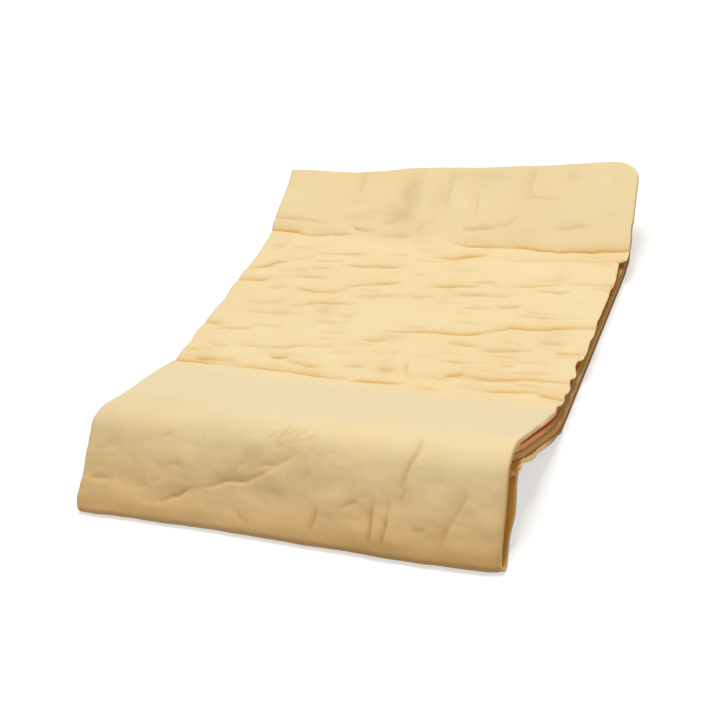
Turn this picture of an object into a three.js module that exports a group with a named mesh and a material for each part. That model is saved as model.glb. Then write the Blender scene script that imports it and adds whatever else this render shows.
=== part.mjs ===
// Synthetic chamois cloth, one soft sheet folded in quarters and lying on a table.
// Millimetres, +Z up. +X is the side of the cut edges, +Y runs from the front fold to the rear flap,
// and the origin is at the bottom centre of the folded cloth's box.
//
// The sheet is folded lengthwise first, which leaves the side folds on the left, and then across,
// which leaves the front folds. That makes two leaves, the upper one lying on the lower one, of two
// plies each. From the front fold the leaves climb to a ridge, fall along a shelf, lie flat on the
// table, and end in a flap that curls up at the rear.

import * as THREE from 'three';

// The cloth
const foldedWidth = 162.5;
const plyThickness = 1.8;
const plyGap = 0.3;
const cornerRadius = 8.5;

// Folds: how far the side folds reach in from the left, and how open the upper leaf's loop stands
const sideFoldReach = 5;
const shelfLoopGap = 1.9;
const rampLoopGap = 1.6;

// The profile of the upper surface, on the left and on the right, because the cloth lies twisted
const frontHeight = 2;
const dropLengthLeft = 36.6;
const dropLengthRight = 37.9;
const shelfLengthLeft = 50.5;
const shelfLengthRight = 47.1;
const rampLengthLeft = 89.5;
const rampLengthRight = 87.3;
const flapLengthLeft = 33.4;
const flapLengthRight = 40;
const dropRiseLeft = THREE.MathUtils.degToRad(40);
const dropRiseRight = THREE.MathUtils.degToRad(47.5);
const flapRiseLeft = THREE.MathUtils.degToRad(22);
const flapRiseRight = THREE.MathUtils.degToRad(30.5);
const flapDriftLength = 2;
const ridgeRadius = 13;
const valleyRadius = 30;
const creaseRadius = 22;

// The front fold: how far up the drop its two plies turn, and the roundness of its three corners
const frontFoldReach = 6;
const frontFoldReachBelow = 8.15;
const innerFoldCentre = 7.5;
const innerFoldReach = 8.65;
const limbSlope = THREE.MathUtils.degToRad(50.6);
const frontCornerRadius = 2.1;
const footCornerRadius = 2.4;
const heelCornerRadius = 3;

// What rests on the table is pressed flat by this much
const restCut = 0.5;

// The cut edges: the inner plies lie back from the right, and the lower leaf is skewed
const upperInnerRecess = 4;
const lowerInnerRecess = 3;
const lowerLeafSkew = 3.6;
const upperInnerSetback = 1.4;
const lowerInnerSetback = 2.4;
const lowerOuterSetback = 0.8;

// Wrinkles pressed across the top ply: depth, width, and places as shares of the ramp from its valley
const wrinkleDepth = 0.55;
const wrinkleHalfWidth = 1.5;
const wrinklePlaceShares = [0.14, 0.27, 0.43, 0.57, 0.69, 0.85];
const wrinkleSlantShares = [0.05, 0.07, 0.05, 0.09, 0.06, 0.05];

// How finely the shapes are cut into faces: the closest two stations, the stations added along the
// straight runs, and the places cut across each wrinkle in its half widths
const stationSpacingShare = 0.012;
const midRunShares = [0.45, 1.35, 1.65, 2.3, 2.5, 2.7, 3.35, 3.55];
const wrinkleCutShares = [-3, -1.5, 0, 1.5, 3];
const arcSteps = 6;
const columns = 6;
const loopSteps = 4;
const cornerSteps = 4;

const seamGap = plyGap / 2;
const leftEdge = -foldedWidth / 2;
const rightEdge = foldedWidth / 2;
const closedStack = 4 * plyThickness + 3 * plyGap;
const rampStack = closedStack - plyGap + rampLoopGap;
const rampHeight = rampStack - restCut;

// Walks an outline and rounds its corners. Each knot holds its place, its normal to the right of the
// walk, and its station: 0 at the start, then one more at the middle of each corner and at the end.
function roundedOutline(start, runs, radii) {
  const turns = radii.map((radius, index) => runs[index + 1].angle - runs[index].angle);
  const trims = [0, ...radii.map((radius, index) => radius * Math.tan(Math.abs(turns[index]) / 2)), 0];
  const halfArcs = [0, ...radii.map((radius, index) => radius * Math.abs(turns[index]) / 2), 0];
  const knots = [];
  let y = start[0];
  let z = start[1];
  const knot = (angle, station) => {
    knots.push({ y, z, ny: Math.sin(angle), nz: -Math.cos(angle), station });
  };
  const move = (length, angle) => {
    y += length * Math.cos(angle);
    z += length * Math.sin(angle);
  };
  const straights = runs.map((run, index) => run.length - trims[index] - trims[index + 1]);
  const developed = runs.map((run, index) => halfArcs[index] + straights[index] + halfArcs[index + 1]);
  knot(runs[0].angle, 0);
  runs.forEach((run, index) => {
    move(straights[index], run.angle);
    knot(run.angle, index + 1 - halfArcs[index + 1] / developed[index]);
    if (index < radii.length) {
      const chord = 2 * radii[index] * Math.sin(Math.abs(turns[index]) / arcSteps / 2);
      for (let step = 1; step <= arcSteps; step += 1) {
        const share = step / arcSteps;
        move(chord, run.angle + turns[index] * (share - 1 / arcSteps / 2));
        const fromMiddle = halfArcs[index + 1] * (2 * share - 1);
        const unit = share <= 1 / 2 ? developed[index] : developed[index + 1];
        knot(run.angle + turns[index] * share, index + 1 + fromMiddle / unit);
      }
    }
  });
  return knots;
}

function knotAt(knots, station) {
  let index = 1;
  while (index < knots.length - 1 && knots[index].station < station) {
    index += 1;
  }
  const a = knots[index - 1];
  const b = knots[index];
  const share = (station - a.station) / (b.station - a.station);
  const mix = (key) => a[key] + (b[key] - a[key]) * share;
  return { y: mix('y'), z: mix('z'), ny: mix('ny'), nz: mix('nz') };
}

// The leaves' upper surface on one side: drop, shelf, ramp and flap. The shelf falls just enough for
// the ramp to lie level at the height of the stack.
function leafProfile(dropLength, dropRise, shelfLength, rampLength, flapLength, flapRise) {
  const fall = frontHeight + dropLength * Math.sin(dropRise) - rampHeight;
  const runs = [
    { length: dropLength, angle: dropRise },
    { length: shelfLength, angle: -Math.asin(fall / shelfLength) },
    { length: rampLength, angle: 0 },
    { length: flapLength, angle: flapRise },
  ];
  return roundedOutline([0, frontHeight], runs, [ridgeRadius, valleyRadius, creaseRadius]);
}

const leftProfile = leafProfile(
  dropLengthLeft, dropRiseLeft, shelfLengthLeft, rampLengthLeft, flapLengthLeft, flapRiseLeft);
const rightProfile = leafProfile(
  dropLengthRight, dropRiseRight, shelfLengthRight, rampLengthRight, flapLengthRight, flapRiseRight);

// Stations along the profile: 0 front, 1 ridge, 2 valley, 3 rear crease, 4 rear edge
const valleyStationShare = 2;
const flapStationShare = 3;
const endStationShare = 4;

// The station at a reach up the drop from its lower end
function frontStation(reach) {
  const [start, bend] = leftProfile;
  return reach * bend.station / Math.hypot(bend.y - start.y, bend.z - start.z);
}

// A point of the stack: across from the left, along the profile, and down from the upper surface
function stackPoint(x, station, depth) {
  const across = (x - leftEdge) / foldedWidth;
  const left = knotAt(leftProfile, station);
  const right = knotAt(rightProfile, station);
  const mix = (key) => left[key] + (right[key] - left[key]) * across;
  const length = Math.hypot(mix('ny'), mix('nz'));
  const drift = flapDriftLength * Math.max(0, station - flapStationShare);
  return [
    x - drift,
    mix('y') + depth * mix('ny') / length,
    Math.max(0, mix('z') + depth * mix('nz') / length),
  ];
}

// The upper leaf's loop stands open from the ridge to the rear crease and is closed elsewhere
const loopStationShares = [0, 0.7, 1.25, 1.9, 2.1, 2.95, 3.4, 4];
const loopGaps = [plyGap, plyGap, shelfLoopGap, shelfLoopGap, rampLoopGap, rampLoopGap, plyGap, plyGap];

function loopGapAt(station) {
  let index = 1;
  while (index < loopStationShares.length - 1 && loopStationShares[index] < station) {
    index += 1;
  }
  const before = loopStationShares[index - 1];
  const share = (station - before) / (loopStationShares[index] - before);
  return THREE.MathUtils.lerp(loopGaps[index - 1], loopGaps[index], share);
}

const upperOuterDepth = () => 0;
const upperInnerDepth = (station) => plyThickness + loopGapAt(station);
const lowerInnerDepth = (station) => upperInnerDepth(station) + plyThickness + plyGap;
const lowerOuterDepth = (station) => lowerInnerDepth(station) + plyThickness + plyGap;

// The stations where a leaf bends, from a given reach up the drop to a given setback from its end
function bendStations(reach, setback) {
  const stations = [frontStation(reach)];
  leftProfile.forEach((knot, index) => stations.push((knot.station + rightProfile[index].station) / 2));
  stations.push(...midRunShares);
  const last = endStationShare - setback / flapLengthRight;
  for (let step = 0; step <= cornerSteps; step += 1) {
    const angle = (Math.PI / 2) * step / cornerSteps;
    stations.push(last - cornerRadius * (1 - Math.cos(angle)) / flapLengthRight);
  }
  return { first: stations[0], last, stations };
}

// The stations in order from the first to the last, without those that crowd another
function sorted({ first, last, stations }) {
  const kept = [first];
  stations.sort((a, b) => a - b).forEach((station) => {
    const crowded = station <= kept[kept.length - 1] + stationSpacingShare;
    if (!crowded && station < last - stationSpacingShare) {
      kept.push(station);
    }
  });
  return [...kept, last];
}

// How far the rounded corner of a cut edge draws in, at a distance from the sheet's end
function cornerInset(toEnd) {
  const past = Math.max(0, cornerRadius - toEnd);
  return cornerRadius - Math.sqrt(Math.max(0, cornerRadius ** 2 - past ** 2));
}

// A closed sheet from its sections. Each section runs out along one face and back along the other,
// so the two end caps are strips between those two rows.
function sheetGeometry(sections) {
  const count = sections[0].length;
  const half = count / 2;
  const lastRow = (sections.length - 1) * count;
  const index = [];
  for (let row = 0; row < lastRow; row += count) {
    for (let j = 0; j < count; j += 1) {
      const a = row + j;
      const b = row + (j + 1) % count;
      index.push(a, b, b + count, a, b + count, a + count);
    }
  }
  for (let b = 1; b < half; b += 1) {
    const a = b - 1;
    const c = count - 1 - b;
    const d = count - 1 - a;
    index.push(a, c, b, a, d, c);
    index.push(lastRow + a, lastRow + b, lastRow + c, lastRow + a, lastRow + c, lastRow + d);
  }
  const geometry = new THREE.BufferGeometry();
  geometry.setAttribute('position', new THREE.Float32BufferAttribute(sections.flat(2), 3));
  geometry.setIndex(index);
  geometry.computeVertexNormals();
  return geometry;
}

// One ply: a sheet between its seam with the side fold and its cut edge
function ply({ reach, setback, recess, skew, depthAt, topAt, stations }) {
  const set = bendStations(reach, setback);
  set.stations.push(...(stations ?? []));
  const leftLimit = leftEdge + sideFoldReach + seamGap;
  const sections = sorted(set).map((station) => {
    const toEnd = (set.last - station) * flapLengthRight;
    const pastValley = Math.max(0, station - valleyStationShare);
    const skewed = skew * pastValley / (endStationShare - valleyStationShare);
    const rightLimit = rightEdge - recess - skewed - cornerInset(toEnd);
    const top = [];
    const bottom = [];
    for (let column = 0; column <= columns; column += 1) {
      const x = THREE.MathUtils.lerp(leftLimit, rightLimit, column / columns);
      const pressed = topAt ? topAt(x, station) : 0;
      top.push(stackPoint(x, station, depthAt(station) + pressed));
      bottom.unshift(stackPoint(x, station, depthAt(station) + plyThickness));
    }
    return [...top, ...bottom];
  });
  return sheetGeometry(sections);
}

// Wrinkles across the ramp of the top ply, each a shallow groove that runs a little aslant
const wrinkles = wrinklePlaceShares.map((place, index) => ({
  station: valleyStationShare + place,
  slant: wrinkleSlantShares[index],
}));
const wrinkleStep = wrinkleHalfWidth / rampLengthLeft;

function wrinkleAt(x, station) {
  const across = x / foldedWidth;
  let pressed = 0;
  wrinkles.forEach((wrinkle) => {
    const away = (station - wrinkle.station - wrinkle.slant * across) / wrinkleStep;
    pressed += wrinkleDepth * Math.exp(-(away ** 2) / 2);
  });
  return pressed;
}

const wrinkleStations = wrinkles.flatMap((wrinkle) => wrinkleCutShares.map(
  (cut) => wrinkle.station + cut * wrinkleStep));

// A side fold: two plies turning into each other in a loop along the left edge
function sideFold({ reach, depthAt, gapAt }) {
  const armX = leftEdge + sideFoldReach - seamGap;
  const sections = sorted(bendStations(reach, 0)).map((station) => {
    const gap = gapAt(station);
    const middle = plyThickness + gap / 2;
    const walk = (radius) => {
      const points = [stackPoint(armX, station, depthAt(station) + middle - radius)];
      for (let step = 0; step <= loopSteps; step += 1) {
        const angle = Math.PI * step / loopSteps;
        const x = leftEdge + middle - radius * Math.sin(angle);
        points.push(stackPoint(x, station, depthAt(station) + middle - radius * Math.cos(angle)));
      }
      points.push(stackPoint(armX, station, depthAt(station) + middle + radius));
      return points;
    };
    return [...walk(gap / 2), ...walk(middle).reverse()];
  });
  return sheetGeometry(sections);
}

// The outline of the outer front fold on one side: down the drop, round under to the table, and up
// the back of the stack
function frontFoldOutline(dropRise) {
  const faceDown = dropRise - Math.PI;
  const footLength = (frontHeight + restCut) / Math.sin(limbSlope);
  const footY = footLength * Math.cos(limbSlope);
  const heelY = (closedStack - Math.cos(dropRise) * (frontHeight + restCut)) / Math.sin(dropRise);
  const heelReach = heelY * Math.cos(dropRise) - Math.sin(dropRise) * (frontHeight + restCut);
  const reach = frontFoldReach - seamGap;
  const runs = [
    { length: reach, angle: faceDown },
    { length: footLength, angle: -limbSlope },
    { length: heelY - footY, angle: 0 },
    { length: frontFoldReachBelow - seamGap - heelReach, angle: dropRise },
  ];
  const start = [reach * Math.cos(dropRise), frontHeight + reach * Math.sin(dropRise)];
  return roundedOutline(start, runs, [frontCornerRadius, footCornerRadius, heelCornerRadius]);
}

function outerFrontFold() {
  const left = frontFoldOutline(dropRiseLeft);
  const right = frontFoldOutline(dropRiseRight);
  const sections = [];
  for (let column = 0; column <= columns; column += 1) {
    const across = column / columns;
    const x = THREE.MathUtils.lerp(leftEdge, rightEdge, across);
    const walk = (depth) => left.map((knot, index) => {
      const mix = (key) => THREE.MathUtils.lerp(knot[key], right[index][key], across);
      return [x, mix('y') - depth * mix('ny'), Math.max(0, mix('z') - depth * mix('nz'))];
    });
    sections.push([...walk(0), ...walk(plyThickness).reverse()]);
  }
  return sheetGeometry(sections);
}

// The inner front fold: the two inner plies turning into each other inside the outer fold
function innerFrontFold() {
  const outer = plyThickness + plyGap / 2;
  const inner = plyGap / 2;
  const middle = 2 * plyThickness + plyGap + plyGap / 2;
  const steps = 2 * loopSteps;
  const sections = [];
  for (let column = 0; column <= columns; column += 1) {
    const leftLimit = leftEdge + sideFoldReach + seamGap;
    const rightLimit = rightEdge - upperInnerRecess;
    const x = THREE.MathUtils.lerp(leftLimit, rightLimit, column / columns);
    const at = (reach, down) => stackPoint(x, frontStation(reach), middle - down);
    const walk = (radius) => {
      const points = [at(innerFoldReach - seamGap, radius)];
      for (let step = 0; step <= steps; step += 1) {
        const angle = Math.PI / 2 + Math.PI * step / steps;
        points.push(at(innerFoldCentre + radius * Math.cos(angle), radius * Math.sin(angle)));
      }
      points.push(at(innerFoldReach - seamGap, -radius));
      return points;
    };
    sections.push([...walk(outer), ...walk(inner).reverse()]);
  }
  return sheetGeometry(sections);
}

function cloth(colour) {
  return new THREE.MeshStandardMaterial({ color: colour, roughness: 0.92, metalness: 0 });
}

const pieces = {
  upper_outer_ply: {
    geometry: ply({
      reach: frontFoldReach + seamGap, setback: 0, recess: 0, skew: 0,
      depthAt: upperOuterDepth, topAt: wrinkleAt, stations: wrinkleStations,
    }),
    material: cloth('#f3deb0'),
  },
  upper_inner_ply: {
    geometry: ply({
      reach: innerFoldReach + seamGap, setback: upperInnerSetback, recess: upperInnerRecess, skew: 0,
      depthAt: upperInnerDepth,
    }),
    material: cloth('#e8cf9c'),
  },
  upper_side_fold: {
    geometry: sideFold({ reach: frontFoldReach + seamGap, depthAt: upperOuterDepth, gapAt: loopGapAt }),
    material: cloth('#efd9aa'),
  },
  lower_inner_ply: {
    geometry: ply({
      reach: innerFoldReach + seamGap, setback: lowerInnerSetback, recess: lowerInnerRecess,
      skew: lowerLeafSkew, depthAt: lowerInnerDepth,
    }),
    material: cloth('#e8cf9c'),
  },
  lower_outer_ply: {
    geometry: ply({
      reach: frontFoldReachBelow + seamGap, setback: lowerOuterSetback, recess: 0, skew: lowerLeafSkew,
      depthAt: lowerOuterDepth,
    }),
    material: cloth('#ead3a2'),
  },
  lower_side_fold: {
    geometry: sideFold({
      reach: frontFoldReachBelow + seamGap, depthAt: lowerInnerDepth, gapAt: () => plyGap,
    }),
    material: cloth('#ead3a2'),
  },
  outer_front_fold: { geometry: outerFrontFold(), material: cloth('#dfc491') },
  inner_front_fold: { geometry: innerFrontFold(), material: cloth('#dfc491') },
};

const group = new THREE.Group();
Object.entries(pieces).forEach(([name, { geometry, material }]) => {
  const mesh = new THREE.Mesh(geometry, material);
  mesh.name = name;
  group.add(mesh);
});

// The folded cloth's box is centred over the origin
const box = new THREE.Box3().setFromObject(group);
const centre = box.getCenter(new THREE.Vector3());
group.position.set(-centre.x, -centre.y, -box.min.z);

export default group;
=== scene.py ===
import math

import bpy
import numpy as np
from mathutils import Matrix, Vector


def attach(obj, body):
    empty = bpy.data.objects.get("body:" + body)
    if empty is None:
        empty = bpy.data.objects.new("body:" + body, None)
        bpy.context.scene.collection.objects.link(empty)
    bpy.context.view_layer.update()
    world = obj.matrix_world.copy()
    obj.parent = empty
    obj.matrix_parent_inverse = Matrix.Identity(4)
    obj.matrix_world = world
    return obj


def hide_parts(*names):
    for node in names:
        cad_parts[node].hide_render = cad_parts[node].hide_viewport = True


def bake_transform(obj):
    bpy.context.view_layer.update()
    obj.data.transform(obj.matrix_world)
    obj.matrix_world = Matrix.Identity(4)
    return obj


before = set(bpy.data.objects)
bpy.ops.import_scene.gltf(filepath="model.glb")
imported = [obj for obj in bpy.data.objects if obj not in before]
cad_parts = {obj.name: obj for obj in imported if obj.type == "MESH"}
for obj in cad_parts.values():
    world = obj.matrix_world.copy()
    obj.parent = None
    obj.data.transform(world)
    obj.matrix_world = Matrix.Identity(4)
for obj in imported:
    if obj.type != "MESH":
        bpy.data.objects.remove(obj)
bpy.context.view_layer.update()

# The upper half of the cloth. The cloth is one sheet of soft synthetic chamois, 430 by 325 mm and
# nearly 2 mm thick, folded lengthwise and then across, so that each half lies in two plies. The halves
# meet in the front fold, and keep the bends of the packet they came in. Lengths are in millimetres.
WIDTH = 162.5
PLY = 1.8
GAP = 0.3
LEFT = -WIDTH / 2
RIGHT = WIDTH / 2
CLOSED_STACK = 4 * PLY + 3 * GAP
MILLIMETRE = 0.001

# Moves the middle of the folded cloth over the frame's origin
CENTRE_SHIFT = (1.0, -99.9187, 0.0)

# The top ply climbs a drop from the front fold to the ridge, falls along a shelf to the valley, lies
# level along a ramp, and curls up in a flap. Each size is for the left and the right, because the
# cloth lies twisted. What rests on the table is pressed flat by the rest cut.
FRONT_HEIGHT = 2.0
REST_CUT = 0.5
DROP_LENGTHS = (36.6, 37.9)
DROP_RISES = (math.radians(40), math.radians(47.5))
SHELF_LENGTHS = (50.5, 47.1)
RAMP_LENGTHS = (89.5, 87.3)
FLAP_LENGTHS = (33.4, 40.0)
FLAP_RISES = (math.radians(22), math.radians(30.5))
BEND_RADII = (13.0, 30.0, 22.0)
FLAP_DRIFT = 2.0

# Places along the cloth are stations: 0 at the front, 1 at the ridge, 2 at the valley, 3 at the rear
# crease and 4 at the rear edge. These lengths are walked to them along the middle of the top ply.
STATION_LENGTHS = (0.0, 37.2, 86.0, 174.5, 211.0)

# How open the upper half's two plies lie, as stations and mm
SHELF_GAP = 1.9
VALLEY_GAP = 2.5
RAMP_GAP = 1.6
UPPER_GAP = ((0, 0.7, 1.25, 1.8, 1.93, 2.1, 2.95, 3.4, 4),
             (GAP, GAP, SHELF_GAP, VALLEY_GAP, VALLEY_GAP, RAMP_GAP, RAMP_GAP, GAP, GAP))
RAMP_HEIGHT = CLOSED_STACK - GAP + RAMP_GAP - REST_CUT


def rounded_outline(start, runs, radii, steps=18):
    """Knots (y, z, right-hand normal, station) along runs of (length, angle) with rounded corners."""
    turns = [after[1] - before[1] for before, after in zip(runs, runs[1:])]
    trims = [0, *(radius * math.tan(abs(turn) / 2) for radius, turn in zip(radii, turns)), 0]
    halves = [0, *(radius * abs(turn) / 2 for radius, turn in zip(radii, turns)), 0]
    straights = [run[0] - trims[i] - trims[i + 1] for i, run in enumerate(runs)]
    developed = [halves[i] + straights[i] + halves[i + 1] for i in range(len(runs))]
    y, z = start
    knots = [(y, z, math.sin(runs[0][1]), -math.cos(runs[0][1]), 0)]
    for i, (length, angle) in enumerate(runs):
        y += straights[i] * math.cos(angle)
        z += straights[i] * math.sin(angle)
        knots.append((y, z, math.sin(angle), -math.cos(angle), i + 1 - halves[i + 1] / developed[i]))
        if i == len(radii):
            break
        chord = 2 * radii[i] * math.sin(abs(turns[i]) / steps / 2)
        for step in range(1, steps + 1):
            heading = angle + turns[i] * (step - 0.5) / steps
            y += chord * math.cos(heading)
            z += chord * math.sin(heading)
            facing = angle + turns[i] * step / steps
            past = halves[i + 1] * (2 * step / steps - 1)
            unit = developed[i] if 2 * step <= steps else developed[i + 1]
            knots.append((y, z, math.sin(facing), -math.cos(facing), i + 1 + past / unit))
    return np.array(knots)


def top_profile(drop, drop_rise, shelf, ramp, flap, flap_rise):
    """The upper face of the top ply on one side, by stations."""
    fall = FRONT_HEIGHT + drop * math.sin(drop_rise) - RAMP_HEIGHT
    runs = [(drop, drop_rise), (shelf, -math.asin(fall / shelf)), (ramp, 0.0), (flap, flap_rise)]
    return rounded_outline((0.0, FRONT_HEIGHT), runs, BEND_RADII)


TOP_PROFILES = [
    top_profile(*sizes)
    for sizes in zip(DROP_LENGTHS, DROP_RISES, SHELF_LENGTHS, RAMP_LENGTHS, FLAP_LENGTHS, FLAP_RISES)
]


def knots_at(where, marks, knots, depth):
    """Points (y, z) and depth mm to the right of them, at places that marks give along the knots."""
    y, z, ny, nz = (np.interp(where, marks, knots[:, column]) for column in range(4))
    size = np.hypot(ny, nz)
    return np.stack([y, z], -1), np.stack([y + depth * ny / size, z + depth * nz / size], -1)


def below_top(side, station, depth):
    """Points (y, z) at a depth under the top ply's upper face, on the left (0) or the right (1)."""
    knots = TOP_PROFILES[side]
    return knots_at(station, knots[:, 4], knots, depth)[1]


def walked_to(station):
    return np.interp(station, range(5), STATION_LENGTHS)


# The front fold, where the halves turn into each other. The outer plies go down the drop, round the
# foot and under the stack, pressed flat on the table, and the inner plies turn inside them. Places
# along it run from 0, on the drop, over 1, the seam of the two halves, to 2, under the stack. The
# nose is its rows, which end at a station up the drop. The seam is told in corners of the outline.
NOSE_ROWS = 18
NOSE_STATION = 0.22
SEAM_CORNER = 2.35
FRONT_CORNERS = (2.1, 2.6, 6.0)
LIMB_SLOPE = math.radians(50.6)
INNER_FOLD_CENTRE = 7.5


def nose_reach(side):
    """How far up the drop the front fold's rows begin on one side."""
    y, z = below_top(side, NOSE_STATION, 0.0)
    return math.hypot(y, z - FRONT_HEIGHT)


def outer_nose(side, place):
    """The outer plies round the front fold: outer face, inner face and distance walked."""
    rise, reach = DROP_RISES[side], nose_reach(side)
    sunk = FRONT_HEIGHT + REST_CUT
    foot = sunk / math.sin(LIMB_SLOPE)
    heel_y = (CLOSED_STACK - math.cos(rise) * sunk) / math.sin(rise)
    heel_reach = heel_y * math.cos(rise) - math.sin(rise) * sunk
    under = heel_y - foot * math.cos(LIMB_SLOPE)
    runs = [(reach, rise - math.pi), (foot, -LIMB_SLOPE), (under, 0.0), (reach - heel_reach, rise)]
    start = (reach * math.cos(rise), FRONT_HEIGHT + reach * math.sin(rise))
    knots = rounded_outline(start, runs, FRONT_CORNERS)
    walked = np.concatenate([[0], np.hypot(*np.diff(knots[:, :2], axis=0).T).cumsum()])
    seam = np.interp(SEAM_CORNER, knots[:, 4], walked)
    along = np.interp(place, (0, 1, 2), (0, seam, walked[-1]))
    outside, inside = knots_at(along, walked, knots, -PLY)
    return outside, inside, along


def inner_nose(side, place):
    """The inner plies round their small circle: the face to the loop and the face between them."""
    rise, reach = DROP_RISES[side], nose_reach(side)
    straight = reach - INNER_FOLD_CENTRE
    bend = math.pi / 2 * (PLY + GAP) / 2
    along = (straight + bend) * np.minimum(place, 2 - place)
    angle = np.clip((along - straight) / bend, 0, 1) * math.pi / 2
    below = np.where(place <= 1, -1, 1)
    faces = []
    for radius in (PLY + GAP / 2, GAP / 2):
        up = np.where(along < straight, reach - along, INNER_FOLD_CENTRE - radius * np.sin(angle))
        down = CLOSED_STACK / 2 + below * radius * np.cos(angle)
        y = up * math.cos(rise) + down * math.sin(rise)
        z = FRONT_HEIGHT + up * math.sin(rise) - down * math.cos(rise)
        faces.append(np.stack([y, z], -1))
    return faces


# The rows of a half: finer between these stations, where the cloth is wrinkled, and closer together
# round the corner of the flap
CORNER_RADIUS = 8.5
FINE_START = 1.94
FINE_END = 3.06


def row_stations(drop, shelf, ramp, flap, corner):
    """The stations of a half's rows behind the front fold, from how many rows each part has."""
    turn = 4 - CORNER_RADIUS / FLAP_LENGTHS[1]
    return np.concatenate([
        np.linspace(NOSE_STATION, 1, drop + 1)[:-1],
        np.linspace(1, FINE_START, shelf + 1)[:-1],
        np.linspace(FINE_START, FINE_END, ramp + 1)[:-1],
        np.linspace(FINE_END, turn, flap + 1)[:-1],
        turn + (4 - turn) * np.sin(np.linspace(0, math.pi / 2, corner + 1)),
    ])


def half_rows(end, stations, depths, setbacks):
    """A half's rows from the seam to the rear: stations, lengths walked, and four faces a side.

    Its end of the front fold is place 0 or 2. A setback is how far a face stops short at the rear.
    """
    place = np.linspace(1, end, NOSE_ROWS + 1)[:-1]
    late = np.clip(stations - 3, 0, 1) / FLAP_LENGTHS[1]
    sides = []
    for side in (0, 1):
        outer, inside, along = outer_nose(side, place)
        near, between = inner_nose(side, place)
        sides.append([
            np.concatenate([start, below_top(side, stations - back * late, depth)])
            for start, depth, back in zip((outer, inside, near, between), depths, setbacks)
        ])
    lengths = walked_to(stations)
    reached = outer_nose(1, np.array([end]))[2]
    walked = np.concatenate([lengths[0] - np.abs(along - reached), lengths])
    return np.concatenate([walked[:NOSE_ROWS] / STATION_LENGTHS[1], stations]), walked, sides


def eased(share):
    """A share from 0 to 1 that starts and stops gently."""
    return share * share * (3 - 2 * share)


def risen(value, start, span):
    """0 up to the start, 1 a span further on, and straight between them."""
    return np.clip((value - start) / span, 0, 1)


def fallen(value, end, span):
    """1 up to a span before the end, 0 from the end on, and straight between them."""
    return np.clip((end - value) / span, 0, 1)


def swell(value, middle, reach):
    """1 at the middle, fading smoothly to nearly 0 at about twice the reach on both sides."""
    return np.exp(-((value - middle) / reach) ** 2)


# The wrinkled ramp begins at a station over a span, and fades out over a span before a station
RAMP_BEGINS = (1.96, 0.06)
RAMP_ENDS = (3.06, 0.08)


def ramp_share(station):
    """1 on the wrinkled ramp between the valley and the rear crease, fading to 0 outside."""
    return eased(risen(station, *RAMP_BEGINS)) * eased(fallen(station, *RAMP_ENDS))


# The cut edges on the right. The inner ply lies back from the outer one, as stations and mm. The top
# ply's edge stands out along the ramp, slants in underneath there, and slants out along the shelf.
SECOND_RECESS = ((0.8, 1.05, 1.3, 1.9, 2.1, 4), (4.0, 2.0, 1.0, 1.0, 1.3, 1.5))
UPPER_SETBACKS = (0.0, 0.0, 1.4, 1.4)
RAMP_OVERHANG = 0.5
RAMP_SLANT = 1.3
SHELF_SLANT = ((0.85, 1.1, 1.75, 1.95), (0, 0.5, 0.5, 0))

# The wrinkles have torn the top ply's edge: the station of each notch, how deep it is, and over how
# many mm it deepens. Behind it the edge steps out again. Its small steps are stations and mm.
TEETH = (
    (3.3, 0.4, 5.0), (2.945, 1.7, 11.0), (2.76, 0.4, 5.0), (2.545, 1.4, 9.0), (2.41, 0.7, 6.0),
    (2.27, 1.9, 8.0), (2.16, 1.7, 5.0), (2.07, 1.2, 4.0), (1.97, 0.9, 4.0),
)
TOOTH_STEP = 1.3
TOP_RECESS = ((2.2, 2.24, 2.27, 2.545, 2.56, 2.945, 2.96), (0, 0.6, 0, 0, 1.2, 1.2, 0))

# By the seam the cloth is pressed out to the right, by a spread that fades over a reach
SEAM_SPREAD = 1.1
SEAM_REACH = 6.0


def right_limit(station, recess, skew=0.0):
    """How far right a ply reaches, with its rounded rear corner. The skew is the recess at the rear."""
    past = np.maximum(0, CORNER_RADIUS - (4 - station) * FLAP_LENGTHS[1])
    inset = CORNER_RADIUS - np.sqrt(np.maximum(0, CORNER_RADIUS ** 2 - past ** 2))
    return RIGHT - recess - skew * risen(station, 2, 2) - inset


def torn_limit(station, limit):
    """The top ply's limit with its torn notches."""
    walked = walked_to(station)
    for where, cut, deepens in TEETH:
        off = walked - walked_to(where)
        limit = limit - cut * np.clip(np.where(off > 0, 1 - off / TOOTH_STEP, 1 + off / deepens), 0, 1)
    return limit


# The foot bows forward a little more in some places than in others, as shares across and mm. On the
# upper half that fades out up the drop.
FOOT_BOW = ((0, .05, .15, .3, .5, .7, .85, .97, 1), (1.2, 1.5, .9, .5, .9, 1.6, 2.0, 1.2, .8))
FOOT_FADE = 0.45

# The side fold bulges out to the left in some places, as stations and mm
LEFT_SPREAD = ((.9, 1.15, 1.5, 1.85, 2.0, 2.2, 2.8, 2.95, 3.1, 3.3, 3.5, 3.8),
               (0, -.9, 0, 1.5, 1.0, 0, 0, 1.2, 2.0, 1.6, 0.9, 0))

# The rear edge lies lower down the flap's slope in places, also as shares across and mm. That grows
# over the flap, from a station on over a span.
REAR_DIP = ((0, .1, .22, .3, .37, .46, .58, .65, .77, .88, 1),
            (0, 1.0, 2.4, 2.1, 1.0, .9, 1.6, 1.2, 1.4, .7, 0))
DIP_BEGINS = (3.2, 0.8)
FLAP_SLOPE = math.radians(26)

# The shares along a row of its first points, which stand closer together at the cut edge
EDGE_POINTS = (0, 0.0014, 0.003, 0.0055)
ARM_START = 0.0095


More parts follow.
